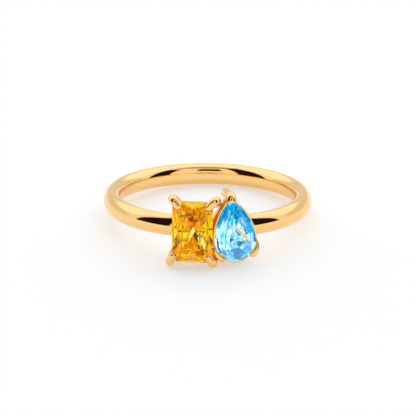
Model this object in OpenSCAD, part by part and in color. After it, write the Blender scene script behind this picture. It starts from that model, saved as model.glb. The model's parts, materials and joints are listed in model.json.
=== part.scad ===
// A toi et moi ring: a plain round band carries two claw settings side by side,
// one with an oblong radiant stone and one with a pear stone.
// It lies on its side on a flat surface, propped on two claws and the back of the band.
// Millimetres, +Z up, origin on the surface under the middle of its box, stones towards -Y.

/* [Band] */
// Inside diameter of the band, the finger size
finger_d = 17.3; // [16:0.1:20]
// Width of the band along the finger
band_w = 2.15; // [2.1:0.05:2.5]
// Thickness of the band, inside to outside
band_t = 1.8; // [1.7:0.05:1.95]
// Rounding radius of the band's two edges, on the outside
edge_r = 0.75; // [0.7:0.01:0.8]
// Depth turned off the band under the two settings
seat_cut = 0.5; // [0.4:0.05:0.55]

/* [Settings] */
// Height of the stones' girdles above the outside of the band
girdle_h = 1.05; // [1:0.05:1.2]
// Turn of the pair of settings round the finger
pair_turn = 3.1; // [0:0.1:6]
// Half the angle between the two settings
half_spread = 10.25; // [10.15:0.05:12]
// Radius of a round claw post
post_r = 0.45; // [0.4:0.01:0.46]
// Radius of a claw's rounded end
claw_r = 0.36; // [0.32:0.01:0.4]
// Radius of the broad post behind the pear's point
point_post_r = 0.55; // [0.5:0.01:0.57]
// Inward lean of the radiant setting's posts towards the band
post_lean = 25; // [22:1:28]
// Gap between a stone and its setting
seat_gap = 0.03; // [0.02:0.01:0.05]

/* [Radiant stone] */
// Width of the radiant stone
radiant_w = 4; // [3.9:0.05:4.05]
// Length of the radiant stone, along the finger
radiant_l = 6.1; // [6:0.05:6.3]
// Length cut off each side at a corner
radiant_corner = 0.5; // [0.4:0.05:0.6]

/* [Pear stone] */
// Width of the pear stone
pear_w = 4.05; // [3.9:0.05:4.1]
// Length of the pear stone, round end to point
pear_l = 6.2; // [6:0.05:6.4]
// Lean of the pear's point towards the radiant stone
pear_lean = 6.5; // [0:0.5:7]
// Shift of the pear stone along the finger, towards its point
pear_shift = 0.12; // [0:0.02:0.2]

/* [Both stones] */
// Height of the crown, girdle to table
crown_h = 0.56; // [0.5:0.02:0.6]
// Thickness of the girdle
girdle_t = 0.08; // [0.07:0.01:0.09]
// Depth of the pavilion, girdle to culet
pavilion_h = 1.6; // [1.5:0.02:1.62]

/* [Hidden] */
$fn = 96;

gold = [0.93, 0.72, 0.35];
citrine = [1, 0.8, 0.1];
aqua = [0.45, 0.8, 0.95];

// Band section, each arc tangent to the next: a flat strip and two quarter circles inside,
// and two edges with a flatter arc between them outside
bore_r = finger_d / 2;
half_w = band_w / 2;
half_t = band_t / 2;
end_z = half_w - edge_r;
side_r = (half_t * half_t + end_z * end_z - edge_r * edge_r) / (2 * (half_t - edge_r));
side_x = side_r - half_t;
join_x = side_r * side_x / (side_r - edge_r) - side_x;
join_z = side_r * end_z / (side_r - edge_r);
land_z = half_w - half_t;
mid_r = bore_r + half_t;
outer_r = mid_r + half_t;

// Levels above the finger's axis
seat_r = outer_r - seat_cut;
girdle_w = outer_r + girdle_h;
foot_w = seat_r - 0.35;
base_top_w = seat_r + 0.3;
rail_low_w = girdle_w - 1.05;
rail_high_w = girdle_w - 0.6;
rim_low_w = girdle_w - 0.5;
rim_high_w = girdle_w - girdle_t - 0.02;

// Turn of each setting round the finger, right of straight ahead
radiant_turn = pair_turn - half_spread;
pear_turn = pair_turn + half_spread;

// Round claws: each bends in two steps at round knuckles; the first knuckle is the knee.
// Where the knees stand, how far they are shifted to the right, and which way the posts and
// the claws point in are given for the lower pair and then for the upper pair.
knuckle = 1.02;
bend_step = 0.33;
claw_bend = 46;
claw_l = 1.2;
claw_edge = 0.3;
knee_w = girdle_w;
knee_u = radiant_w / 2 + 0.17;
knee_v = [radiant_l / 2 + 0.02, radiant_l / 2 + 0.3];
knee_shift = [-0.07, 0.16];
post_dir = [62, 76];
claw_dir = [62, 43];

// Frames under the radiant stone: half width at the ends and at the waist, and half length
base_outer = [1.78, 1.5, 2.65];
base_inner = [1.15, 1, 2.1];
rail_outer = [1.78, 1.72, 2.86];
rail_inner = [1.2, 1.15, 2.25];

// Band turned down this many degrees past the middle of each setting, and drilled under
// each stone's culet
seat_overhang = 8;
relief_r = 0.5;
relief_depth = 0.25;

// Pear outline: a round end of radius pear_r and two flank arcs that meet at the point
pear_r = pear_w / 2;
point_y = pear_l - pear_r;
flank_r = (pear_r * pear_r + point_y * point_y) / (2 * pear_r);
flank_x = flank_r - pear_r;
point_a = atan2(point_y, flank_x);

// Broad post behind the pear's point, and the two leaf claws at its round end
point_post_y = point_y + 0.33;
point_lean = 2;
point_bend = 72;
point_claw_l = 0.59;
point_claw_edge = 0.1;
leaf_r = 0.95;
leaf_reach = 1.45;
leaf_a = 30;
leaf_edge = 0.28;
leaf_low_w = girdle_w - 0.75;
leaf_top_w = girdle_w + 0.24;
leaf_lap = 0.08;
leaf_post_r = 0.42;
leaf_post_out = 0.25;
lip_r = 0.36;
lip_a = 46;
lip_out = 0.12;
lip_edge = 0.26;
lip_low_w = girdle_w - 0.4;
lip_top_w = girdle_w + 0.44;

// Frames under the pear stone: how far outside the stone's outline each starts and ends
pear_base = [0.05, -0.6];
pear_rim = [0.15, -0.42];
strut_r = 0.3;
strut_a = 35;
strut_in = 0.28;
strut_lap = 0.15;
strut_low_w = base_top_w - strut_lap;

// Resting tilt: the common tangent of the band's rear edge and the two lower knees
rest_run = mid_r + knee_w;
rest_rise = knee_v[0] - end_z;
rest_tilt = atan2(rest_rise, rest_run)
    + asin((knuckle * post_r - edge_r) / norm([rest_run, rest_rise]));
rest_h = mid_r * sin(rest_tilt) + end_z * cos(rest_tilt) + edge_r;
// Front and back of the resting ring, from a lower claw's end and the band
claw_end_w = knee_w + bend_step * cos(claw_bend - post_lean)
    + (claw_l - claw_r) * cos(2 * claw_bend - post_lean);
rest_front = (claw_end_w + claw_r) * cos(rest_tilt) + knee_v[0] * sin(rest_tilt);
rest_back = mid_r * cos(rest_tilt) + half_t;
rest_y = (rest_front - rest_back) / 2;

// Places a setting's own frame: x round the band, y along the finger, z away from the finger
module in_head(turn) {
    rotate([0, 0, turn]) rotate([90, 0, 0]) children();
}

// Lays the ring down on its side, over the origin
module at_rest() {
    translate([0, rest_y, rest_h])
        rotate([0, 0, radiant_turn])
            rotate([-rest_tilt, 0, 0])
                rotate([0, 0, -radiant_turn])
                    children();
}

// Straight wall between two levels, from a flat outline
module wall(from, to) {
    translate([0, 0, from]) linear_extrude(to - from) children();
}

// Band section as a flat shape, x away from the finger's axis
module band_section() {
    translate([mid_r, 0]) {
        intersection() {
            translate([-side_x, 0]) circle(side_r);
            translate([0, -join_z]) square([band_t, 2 * join_z]);
        }
        intersection() {
            for (side = [-1, 1]) translate([0, side * end_z]) circle(edge_r);
            translate([0, -half_w]) square([band_t, 2 * half_w]);
        }
        intersection() {
            for (side = [-1, 1]) translate([0, side * land_z]) circle(half_t);
            translate([-half_t, -half_w]) square([half_t, 2 * half_w]);
        }
        translate([-half_t, -land_z]) square([half_t, 2 * land_z]);
    }
}

// Band, turned down under the settings
module band() {
    difference() {
        rotate_extrude() band_section();
        rotate([0, 0, radiant_turn - seat_overhang - 90])
            rotate_extrude(angle = 2 * (half_spread + seat_overhang))
                translate([seat_r, -band_w]) square([seat_cut + 1, 2 * band_w]);
    }
}

// Tapered stub with a rounded edge at its top, standing on z = 0
module round_end(foot_r, tip_r, length, edge) {
    rotate_extrude() intersection() {
        square([foot_r, length]);
        union() {
            polygon([[0, 0], [foot_r, 0], [tip_r, length - edge], [0, length - edge]]);
            square([tip_r - edge, length]);
            translate([tip_r - edge, length - edge]) circle(edge);
        }
    }
}

// Claw end cut off square, with a small chamfer
module cut_end(foot_r, tip_r, length, edge) {
    rotate_extrude()
        polygon([
            [0, 0], [foot_r, 0], [tip_r, length - edge],
            [tip_r - edge, length], [0, length]
        ]);
}

// Post that leans away from +x and ends at the origin
module leaning_post(r, height, lean) {
    rotate([0, -lean, 0]) translate([0, 0, -height]) cylinder(h = height, r = r);
}

// Knuckle at the origin, and the child bent over towards +x on top of it
module bent_over(r, angle) {
    sphere(knuckle * r);
    rotate([0, angle, 0]) children();
}

// Round claw from its knee on: a short step, a second knuckle and the tapered end
module round_claw() {
    bent_over(post_r, claw_bend - post_lean) {
        cylinder(h = bend_step, r = post_r);
        translate([0, 0, bend_step])
            bent_over(post_r, claw_bend)
                round_end(post_r, claw_r, claw_l, claw_edge);
    }
}

// Turns +x to point in from a corner, at an angle from the stone's short side
module inward(su, sv, angle) {
    rotate([0, 0, -sv * 90 - sv * su * (90 - angle)]) children();
}

// Waisted flat frame under the radiant stone, tied to the four posts at its corners
module waisted(size) {
    u = size[0];
    v = size[2];
    polygon([[u, -v], [size[1], 0], [u, v], [-u, v], [-size[1], 0], [-u, -v]]);
}

// Flat outline of the pear stone about the centre of its round end, larger all round by grow
module pear_outline(grow = 0) {
    circle(pear_r + grow);
    intersection() {
        translate([-flank_x, 0]) circle(flank_r + grow);
        translate([flank_x, 0]) circle(flank_r + grow);
        translate([-pear_w, 0]) square([2 * pear_w, 2 * pear_l]);
    }
}

// Places the centre of the pear's round end in its setting's frame
module in_pear() {
    translate([0, pear_shift, 0])
        rotate([0, 0, pear_lean])
            translate([0, pear_r - pear_l / 2, 0])
                children();
}

// Four posts on a base frame, with one rail under the girdle
module radiant_setting() {
    post_h = knee_w - foot_w;
    for (su = [-1, 1], row = [0, 1]) {
        sv = 2 * row - 1;
        translate([su * knee_u + knee_shift[row], sv * knee_v[row], knee_w]) {
            inward(su, sv, post_dir[row]) leaning_post(post_r, post_h, post_lean);
            inward(su, sv, claw_dir[row]) round_claw();
        }
    }
    wall(foot_w, base_top_w) difference() {
        waisted(base_outer);
        waisted(base_inner);
    }
    wall(rail_low_w, rail_high_w) difference() {
        waisted(rail_outer);
        waisted(rail_inner);
    }
}

// Leaf-shaped claw along the pear's round end, lapping its edge
module leaf_claw() {
    rotate([0, 0, leaf_a]) translate([leaf_reach, 0, 0]) {
        translate([0, 0, leaf_low_w])
            round_end(leaf_r, leaf_r, leaf_top_w - leaf_low_w, leaf_edge);
        translate([leaf_post_out, 0, strut_low_w])
            cylinder(h = leaf_low_w + strut_lap - strut_low_w, r = leaf_post_r);
    }
}

// One broad post behind the point and two leaf claws, on a base frame, with a rail at the girdle
module pear_setting() {
    translate([0, point_post_y, knee_w]) rotate([0, 0, -90]) {
        leaning_post(point_post_r, knee_w - foot_w, point_lean);
        bent_over(point_post_r, point_bend - point_lean)
            cut_end(point_post_r, point_post_r - 0.04, point_claw_l, point_claw_edge);
    }
    difference() {
        for (side = [0, 1]) mirror([side, 0, 0]) mirror([0, 1, 0]) leaf_claw();
        wall(rim_low_w, leaf_top_w + leaf_edge) pear_outline(-leaf_lap);
    }
    for (side = [-1, 1])
        rotate([0, 0, -90 + side * (90 - lip_a)])
            translate([pear_r + lip_out, 0, lip_low_w])
                round_end(lip_r, lip_r, lip_top_w - lip_low_w, lip_edge);
    for (side = [-1, 1])
        rotate([0, 0, 90 + side * (90 - strut_a)])
            translate([pear_r - strut_in, 0, strut_low_w])
                cylinder(h = rim_low_w + strut_lap - strut_low_w, r = strut_r);
    wall(foot_w, base_top_w) difference() {
        pear_outline(pear_base[0]);
        pear_outline(pear_base[1]);
    }
    wall(rim_low_w, rim_high_w) difference() {
        pear_outline(pear_rim[0]);
        pear_outline(pear_rim[1]);
    }
}

// Corner points of the radiant stone, for one sign of x and of y
function radiant_points(sx, sy) = [
    // table corner
    [sx * 0.22 * radiant_w, sy * 0.32 * radiant_l, crown_h],
    // tips of the crown's long and short side facets
    [sx * 0.265 * radiant_w, 0, 0.9 * crown_h],
    [0, sy * 0.37 * radiant_l, 0.9 * crown_h],
    // girdle corners, upper and lower
    for (z = [0, -girdle_t]) [sx * radiant_w / 2, sy * (radiant_l / 2 - radiant_corner), z],
    for (z = [0, -girdle_t]) [sx * (radiant_w / 2 - radiant_corner), sy * radiant_l / 2, z],
    // pavilion rib, side and end points
    [sx * 0.27 * radiant_w, sy * 0.29 * radiant_l, -0.52 * pavilion_h],
    [sx * 0.3 * radiant_w, 0, -0.54 * pavilion_h],
    [0, sy * 0.32 * radiant_l, -0.5 * pavilion_h],
    // culet
    [0, 0, -pavilion_h]
];

// Radiant stone about the middle of its girdle's upper edge
module radiant_gem() {
    points = [for (sx = [-1, 1], sy = [-1, 1]) each radiant_points(sx, sy)];
    hull() polyhedron(points, [[for (i = [0:len(points) - 1]) i]]);
}

// Distance from the round end's centre to the pear's tangent that faces direction a
function pear_reach(a) =
    sin(a) <= 0 ? pear_r
        : abs(cos(a)) < cos(point_a) ? point_y * sin(a)
        : flank_r - flank_x * abs(cos(a));

// Directions that the pear's main facets face, and those between them
pear_mains = [-90, for (s = [-1, 1]) each [90 + s * 28, 90 + s * 62, 90 + s * 90, 90 + s * 135]];
pear_halves = [90, for (s = [-1, 1]) each
    [90 + s * 45, 90 + s * 76, 90 + s * 112, 90 + s * 158]];
main_slope = 35;
half_slope = 41;
star_slope = 22;
half_steeper = 1.03;

// Keeps what lies below a facet that faces direction a and falls away at a slope,
// through reach at level z
module crown_facet(a, slope, reach, z = 0) {
    size = 4 * pear_l;
    rotate([0, 0, a]) translate([reach, 0, z]) rotate([0, slope, 0])
        translate([-size / 2, -size / 2, -size]) cube(size);
}

// Keeps what lies above a facet that faces down and direction a
module pavilion_facet(a, slope) {
    mirror([0, 0, 1]) crown_facet(a, slope, pear_reach(a), girdle_t);
}

// Pear stone about the centre of its round end, on its girdle's upper edge
module pear_gem() {
    depth = pavilion_h - girdle_t;
    hull() intersection() {
        wall(-pavilion_h, crown_h) pear_outline($fn = 72);
        intersection_for (a = pear_mains) crown_facet(a, main_slope, pear_reach(a));
        intersection_for (a = pear_halves) crown_facet(a, half_slope, pear_reach(a));
        intersection_for (a = pear_halves)
            crown_facet(a, star_slope, pear_reach(a) - crown_h / tan(main_slope), crown_h);
        intersection_for (a = pear_mains) pavilion_facet(a, atan(depth / pear_reach(a)));
        intersection_for (a = pear_halves)
            pavilion_facet(a, atan(half_steeper * depth / pear_reach(a)));
    }
}

// Room for a stone: the child is the stone, and half_l its shortest half width
module room(half_l) {
    grow = 1 + seat_gap / half_l;
    hull() scale([grow, grow, 1.05]) children();
}

// Drilled relief under a culet
module relief() {
    translate([0, 0, seat_r - relief_depth]) cylinder(h = relief_depth + 1, r = relief_r);
}

// The soldered metal: the band with its two settings, cut away round the stones
module band_and_settings() {
    color(gold) difference() {
        union() {
            difference() {
                band();
                in_head(radiant_turn) relief();
                in_head(pear_turn) in_pear() relief();
            }
            in_head(radiant_turn) radiant_setting();
            in_head(pear_turn) in_pear() pear_setting();
        }
        in_head(radiant_turn) translate([0, 0, girdle_w]) room(radiant_w / 2) radiant_gem();
        in_head(pear_turn) translate([0, 0, girdle_w]) in_pear() room(pear_w / 2) pear_gem();
    }
}

module radiant_stone() {
    color(citrine) in_head(radiant_turn) translate([0, 0, girdle_w]) radiant_gem();
}

module pear_stone() {
    color(aqua) in_head(pear_turn) translate([0, 0, girdle_w]) in_pear() pear_gem();
}

at_rest() band_and_settings();
at_rest() radiant_stone();
at_rest() pear_stone();
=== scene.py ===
"""A toi et moi ring in polished yellow gold, with a radiant and a pear stone side by side."""
import json
import logging
import math
import random
from dataclasses import dataclass, field
from enum import Enum
from typing import Callable, Iterable, Sequence

import bmesh
import bpy
from bmesh.types import BMEdge, BMesh, BMFace, BMVert
from mathutils import Matrix, Vector


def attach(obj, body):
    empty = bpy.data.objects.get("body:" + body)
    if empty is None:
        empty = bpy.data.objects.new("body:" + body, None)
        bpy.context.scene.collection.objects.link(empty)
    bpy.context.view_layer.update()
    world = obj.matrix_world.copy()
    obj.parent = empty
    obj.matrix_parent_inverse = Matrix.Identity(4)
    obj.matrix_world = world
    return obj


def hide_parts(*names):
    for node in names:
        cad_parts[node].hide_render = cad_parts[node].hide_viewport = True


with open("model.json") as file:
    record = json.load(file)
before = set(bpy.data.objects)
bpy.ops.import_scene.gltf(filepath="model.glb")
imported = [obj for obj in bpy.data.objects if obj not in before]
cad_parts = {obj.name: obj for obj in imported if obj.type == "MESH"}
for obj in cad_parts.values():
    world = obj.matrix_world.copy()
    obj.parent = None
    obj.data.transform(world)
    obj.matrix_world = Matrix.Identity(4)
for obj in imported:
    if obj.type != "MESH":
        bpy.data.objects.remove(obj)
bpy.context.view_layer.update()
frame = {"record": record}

log = logging.getLogger("ring")
# Metres in a millimetre: shapes are drawn in millimetres, and a finished piece is in metres
MM = 0.001
BODY = "root"
METAL_NODE = "band_and_settings"
# In millimetres: the gap round a stone, and how near counts as one spot or as on a plane
STONE_ROOM = 0.03
SAME_SPOT = 1e-4
ON_PLANE = 1e-5
# A facet of a stone's back lies below the first and faces up less than the second, and it is
# part of the girdle where it faces up more than the third
BACK_BELOW = 0.01
BACK_UPWARD = 0.35
GIRDLE_UPWARD = -0.1
Colour = tuple[float, float, float]
# Painted reflected light and shade that several back facets share, in the stones' own hues
LEMON_PAINTED_LIGHT: Colour = (1.0, 0.8, 0.08)
STRAW_PAINTED_LIGHT: Colour = (1.0, 0.9, 0.35)
AMBER_PAINTED_LIGHT: Colour = (0.9, 0.5, 0.02)
ICE_PAINTED_LIGHT: Colour = (0.8, 0.97, 1.0)


class Slot(Enum):
    """The record's material slots."""

    GOLD = "gold"
    RADIANT = "radiant_gem"
    PEAR = "pear_gem"


class Shading(Enum):
    """How a piece's faces meet: cut facets, or polished metal with crisp edges."""

    FACETED = 0.0
    POLISHED = 32.0


@dataclass(frozen=True)
class Lie:
    """How the ring lies: the middle of its finger hole and the finger's axis, from the record."""

    centre: Vector
    axis: Vector

    @classmethod
    def from_record(cls, record: dict) -> "Lie":
        """Reads the finger hole's mount.

        Args:
            record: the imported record.

        Returns:
            The ring's lie, in millimetres.
        """
        hole = record["mounts"][0]
        return cls(Vector(hole["pos_m"]) / MM, Vector(hole["axis"]).normalized())

    def ring(self) -> Matrix:
        """The ring's own frame: z along the finger, y away from the stones."""
        turn = Vector((0, 0, 1)).rotation_difference(self.axis)
        return Matrix.Translation(self.centre) @ turn.to_matrix().to_4x4()


def upright(turn: float) -> Matrix:
    """A setting's frame in the ring's: x round the band, y along the finger, z outwards.

    Args:
        turn: angle of the setting round the finger, in degrees.

    Returns:
        The frame.
    """
    return Matrix.Rotation(math.radians(turn), 4, "Z") @ Matrix.Rotation(
        math.radians(90), 4, "X")


def joined(parts: Iterable[BMesh]) -> BMesh:
    """Puts several shapes into one.

    Args:
        parts: the shapes, which are freed.

    Returns:
        One shape that holds them all.
    """
    whole = bmesh.new()
    for part in parts:
        mesh = bpy.data.meshes.new("part")
        part.to_mesh(mesh)
        whole.from_mesh(mesh)
        bpy.data.meshes.remove(mesh)
        part.free()
    return whole


def carved(shape: BMesh, tool: BMesh) -> BMesh:
    """Cuts one closed shape out of another.

    Args:
        shape: the shape to cut, which is freed.
        tool: the shape to take away, which is kept.

    Returns:
        What is left.
    """
    objects = []
    for bm in (shape, tool):
        mesh = bpy.data.meshes.new("carving")
        bm.to_mesh(mesh)
        objects.append(bpy.data.objects.new("carving", mesh))
        bpy.context.scene.collection.objects.link(objects[-1])
    cut = objects[0].modifiers.new("cut", "BOOLEAN")
    cut.operation, cut.solver, cut.object = "DIFFERENCE", "EXACT", objects[1]
    evaluated = objects[0].evaluated_get(bpy.context.evaluated_depsgraph_get())
    left = bmesh.new()
    left.from_mesh(evaluated.to_mesh())
    evaluated.to_mesh_clear()
    for item in objects:
        mesh = item.data
        bpy.data.objects.remove(item)
        bpy.data.meshes.remove(mesh)
    shape.free()
    return left


def cleared(parts: Iterable[BMesh], room: BMesh) -> BMesh:
    """Cuts a stone's room out of each part on its own, and joins what is left.

    Args:
        parts: closed shapes, which are freed.
        room: the room, which is kept.

    Returns:
        The parts in one shape.
    """
    return joined([carved(part, room) for part in parts])


def paint_facet_light(bm: BMesh, painted_light_of: Callable[[BMFace], Colour]) -> None:
    """Marks each facet below the girdle as back and gives it painted reflected light and shade.

    Args:
        bm: a stone, in its own frame.
        painted_light_of: gives a facet's painted reflected light colour.
    """
    # The colour layer holds each back facet's painted reflected light and shade; the crown gets
    # white
    layer = bm.loops.layers.float_color.new("tone")
    bm.normal_update()
    for face in bm.faces:
        face.material_index = int(face.normal.z < BACK_UPWARD
                                  and face.calc_center_median().z < BACK_BELOW)
        tone = painted_light_of(face) if face.material_index else (1.0, 1.0, 1.0)
        for loop in face.loops:
            loop[layer] = (*tone, 1)


def picked(face: BMFace, painted_lights: Sequence[Colour]) -> Colour:
    """Picks one of several painted light colours for a facet, always the same one.

    Args:
        face: the facet.
        painted_lights: what there is to pick from; one that comes twice is picked twice as often.

    Returns:
        The painted light colour.
    """
    middle = face.calc_center_median()
    return random.Random(f"{middle.x:.2f} {middle.y:.2f}").choice(painted_lights)


def piece(name: str, shape: BMesh, place: Matrix, looks: Sequence[bpy.types.Material],
          slot: Slot, shading: Shading, *nodes: str) -> None:
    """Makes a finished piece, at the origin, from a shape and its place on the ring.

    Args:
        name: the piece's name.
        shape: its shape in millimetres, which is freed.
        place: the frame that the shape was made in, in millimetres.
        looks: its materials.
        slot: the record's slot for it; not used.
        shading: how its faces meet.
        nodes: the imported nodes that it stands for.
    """
    bmesh.ops.transform(shape, matrix=Matrix.Scale(MM, 4) @ place, verts=shape.verts[:])
    bmesh.ops.recalc_face_normals(shape, faces=shape.faces[:])
    mesh = bpy.data.meshes.new(name)
    shape.to_mesh(mesh)
    shape.free()
    for look in looks:
        mesh.materials.append(look)
    if shading is Shading.POLISHED:
        mesh.shade_smooth()
        mesh.set_sharp_from_angle(angle=math.radians(shading.value))
    made = bpy.data.objects.new(name, mesh)
    bpy.context.scene.collection.objects.link(made)
    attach(made, BODY)
    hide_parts(*nodes)
    log.info("%s: %d faces", name, len(mesh.polygons))


@dataclass
class Wire:
    """A round wire that grows from its foot, station by station, along its own z."""

    radius: float
    place: Matrix
    sides: int = 40
    stations: list[Matrix] = field(default_factory=list)

    def __post_init__(self) -> None:
        """Marks the foot."""
        self.mark()

    def mark(self) -> None:
        """Keeps a ring of the wire's present radius at its present end."""
        self.stations.append(self.place @ Matrix.Scale(self.radius, 4))

    def run(self, length: float, radius: float | None = None, steps: int = 1) -> "Wire":
        """Grows straight on.

        Args:
            length: how far.
            radius: the wire's radius at the end of the run, or None to keep it.
            steps: rings along the way.

        Returns:
            The wire.
        """
        start = self.radius
        end = start if radius is None else radius
        for i in range(1, steps + 1):
            self.place = self.place @ Matrix.Translation((0, 0, length / steps))
            self.radius = start + (end - start) * i / steps
            self.mark()
        return self

    def bend(self, radius: float, towards: Vector, steps: int = 12) -> "Wire":
        """Bends over until it points in a new direction.

        Args:
            radius: the bend's radius, at the wire's middle.
            towards: the new direction.
            steps: rings along the way.

        Returns:
            The wire.
        """
        ahead = self.place.to_3x3() @ Vector((0, 0, 1))
        axis = ahead.cross(towards).normalized()
        centre = self.place.translation + radius * axis.cross(ahead)
        turn = Matrix.Rotation(ahead.angle(towards) / steps, 4, axis)
        step = Matrix.Translation(centre) @ turn @ Matrix.Translation(-centre)
        for _ in range(steps):
            self.place = step @ self.place
            self.mark()
        return self

    def round_off(self, edge: float, steps: int = 8) -> "Wire":
        """Ends the wire with a rounded edge.

        Args:
            edge: the rounding's radius.
            steps: rings over the rounding.

        Returns:
            The wire.
        """
        flat, start = self.radius - edge, self.place
        for i in range(1, steps + 1):
            a = math.radians(90) * i / steps
            self.place = start @ Matrix.Translation((0, 0, edge * math.sin(a)))
            self.radius = flat + edge * math.cos(a)
            self.mark()
        return self

    def mesh(self) -> BMesh:
        """Extrudes the wire through its stations and closes both ends.

        Returns:
            The wire's closed shape.
        """
        bm = bmesh.new()
        made = bmesh.ops.create_circle(bm, cap_ends=True, segments=self.sides, radius=1,
                                       matrix=self.stations[0])
        rim = list({e for v in made["verts"] for e in v.link_edges if len(e.link_faces) < 2})
        for last, now in zip(self.stations, self.stations[1:]):
            grown = bmesh.ops.extrude_edge_only(bm, edges=rim)["geom"]
            verts = [g for g in grown if isinstance(g, BMVert)]
            fresh = set(verts)
            rim = [g for g in grown if isinstance(g, BMEdge) and fresh.issuperset(g.verts)]
            bmesh.ops.transform(bm, matrix=now @ last.inverted(), verts=verts)
        bmesh.ops.edgeloop_fill(bm, edges=rim)
        bmesh.ops.recalc_face_normals(bm, faces=bm.faces[:])
        return bm


def arc(bm: BMesh, start: BMVert, centre: Vector, axis: Vector, angle: float,
        steps: int) -> BMVert:
    """Draws an arc by turning a vertex.

    Args:
        bm: the shape.
        start: the vertex that the arc starts from.
        centre: the arc's centre.
        axis: the axis that it turns about.
        angle: how far, in radians.
        steps: edges along the arc.

    Returns:
        The vertex at the arc's end.
    """
    made = bmesh.ops.spin(bm, geom=[start], cent=centre, axis=axis, angle=angle, steps=steps,
                          use_merge=False, use_duplicate=False)
    return [g for g in made["geom_last"] if isinstance(g, BMVert)][0]


def frame_between(outer: BMesh, inner: BMesh, low: float, high: float, edge: float,
                  sharp: float = 0.9) -> BMesh:
    """Makes a flat frame with rounded edges from two closed loops drawn at z = 0.

    Args:
        outer: the outer loop, which is freed.
        inner: the inner loop, which is freed.
        low: height of the frame's underside.
        high: height of its top.
        edge: radius of its edges.
        sharp: edges that turn by more than this are rounded, in radians.

    Returns:
        The frame.
    """
    bm = joined((outer, inner))
    bmesh.ops.bridge_loops(bm, edges=bm.edges[:])
    bmesh.ops.translate(bm, vec=(0, 0, low), verts=bm.verts[:])
    grown = bmesh.ops.extrude_face_region(bm, geom=bm.faces[:])["geom"]
    bmesh.ops.translate(bm, vec=(0, 0, high - low),
                        verts=[g for g in grown if isinstance(g, BMVert)])
    bmesh.ops.recalc_face_normals(bm, faces=bm.faces[:])
    rims = [e for e in bm.edges if len(e.link_faces) == 2 and e.calc_face_angle(0) > sharp]
    bmesh.ops.bevel(bm, geom=rims, offset=edge, segments=4, profile=0.5, affect="EDGES",
                    material=-1, clamp_overlap=True)
    return bm


class Shader:
    """A material in the making, round its Principled shader."""

    def __init__(self, name: str) -> None:
        """Starts the material.

        Args:
            name: its name.
        """
        self.look = bpy.data.materials.new(name)
        self.look.use_nodes = True
        self.nodes, self.links = self.look.node_tree.nodes, self.look.node_tree.links
        self.sockets = self.nodes["Principled BSDF"].inputs

    def fix(self, values: dict[str, float | Colour]) -> None:
        """Sets what is the same all over the surface.

        Args:
            values: the sockets' names, each with its number or colour.
        """
        for name, value in values.items():
            self.sockets[name].default_value = (*value, 1) if isinstance(value, tuple) else value

    def clouds(self, scale: float, detail: float,
               stretch: tuple[float, float, float] = (1, 1, 1)) -> bpy.types.NodeSocket:
        """Adds a cloudy pattern that lies still on the object.

        Args:
            scale: how fine the pattern is.
            detail: how many finer layers it has.
            stretch: its scale along each axis, before that.

        Returns:
            The pattern's strength, from 0 to 1.
        """
        where = self.nodes.new("ShaderNodeTexCoord")
        mapping = self.nodes.new("ShaderNodeMapping")
        mapping.inputs["Scale"].default_value = stretch
        self.links.new(where.outputs["Object"], mapping.inputs["Vector"])
        noise = self.nodes.new("ShaderNodeTexNoise")
        noise.inputs["Scale"].default_value = scale
        noise.inputs["Detail"].default_value = detail
        self.links.new(mapping.outputs["Vector"], noise.inputs["Vector"])
        return noise.outputs["Fac"]

    def colour(self, pattern: bpy.types.NodeSocket, first: Colour, second: Colour) -> None:
        """Lets the colour follow a pattern.

        Args:
            pattern: the pattern's strength.
            first: the colour where it is 0.
            second: the colour where it is 1.
        """
        tone = self.nodes.new("ShaderNodeMix")
        tone.data_type = "RGBA"
        tone.inputs["A"].default_value = (*first, 1)
        tone.inputs["B"].default_value = (*second, 1)
        self.links.new(pattern, tone.inputs["Factor"])
        self.links.new(tone.outputs["Result"], self.sockets["Base Color"])

    def roughness(self, pattern: bpy.types.NodeSocket, least: float, most: float) -> None:
        """Lets the roughness follow a pattern.

        Args:
            pattern: the pattern's strength.
            least: the roughness where it is 0.
            most: the roughness where it is 1.
        """
        polish = self.nodes.new("ShaderNodeMapRange")
        polish.inputs["To Min"].default_value = least
        polish.inputs["To Max"].default_value = most
        self.links.new(pattern, polish.inputs["Value"])
        self.links.new(polish.outputs["Result"], self.sockets["Roughness"])

    def scratches(self, pattern: bpy.types.NodeSocket, strength: float, depth: float) -> None:
        """Lets the surface rise and fall with a pattern.

        Args:
            pattern: the pattern's strength.
            strength: how much of it counts, from 0 to 1.
            depth: its height, in metres.
        """
        bump = self.nodes.new("ShaderNodeBump")
        bump.inputs["Strength"].default_value = strength
        bump.inputs["Distance"].default_value = depth
        self.links.new(pattern, bump.inputs["Height"])
        self.links.new(bump.outputs["Normal"], self.sockets["Normal"])

    def painted(self, attribute: str, *sockets: str) -> None:
        """Lets sockets take the colour that is stored on the mesh.

        Args:
            attribute: the name of the colour layer.
            sockets: the sockets' names.
        """
        # The stones' backs read their painted reflected light and shade from this layer
        painted_lights = self.nodes.new("ShaderNodeAttribute")
        painted_lights.attribute_name = attribute
        for socket in sockets:
            self.links.new(painted_lights.outputs["Color"], self.sockets[socket])


@dataclass(frozen=True)
class PolishedGold:
    """Yellow gold with a high polish and the fine marks that a cloth leaves."""

    colour: Colour = (0.985, 0.65, 0.26)
    deep: Colour = (0.965, 0.62, 0.235)
    roughness: tuple[float, float] = (0.035, 0.085)
    cloud_scale: float = 260.0
    cloud_detail: float = 3.0
    hair_scale: float = 900.0
    hair_detail: float = 5.0
    hair_stretch: tuple[float, float, float] = (1, 1, 9)
    hair_strength: float = 0.12
    hair_depth: float = 0.000002

    def material(self) -> bpy.types.Material:
        """Builds the shader.

        Returns:
            The material.
        """
        shader = Shader("polished_gold")
        shader.fix({"Metallic": 1.0, "Specular IOR Level": 0.5})
        shader.colour(shader.clouds(self.cloud_scale, self.cloud_detail), self.colour, self.deep)
        hairs = shader.clouds(self.hair_scale, self.hair_detail, self.hair_stretch)
        shader.roughness(hairs, *self.roughness)
        shader.scratches(hairs, self.hair_strength, self.hair_depth)
        return shader.look


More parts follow.
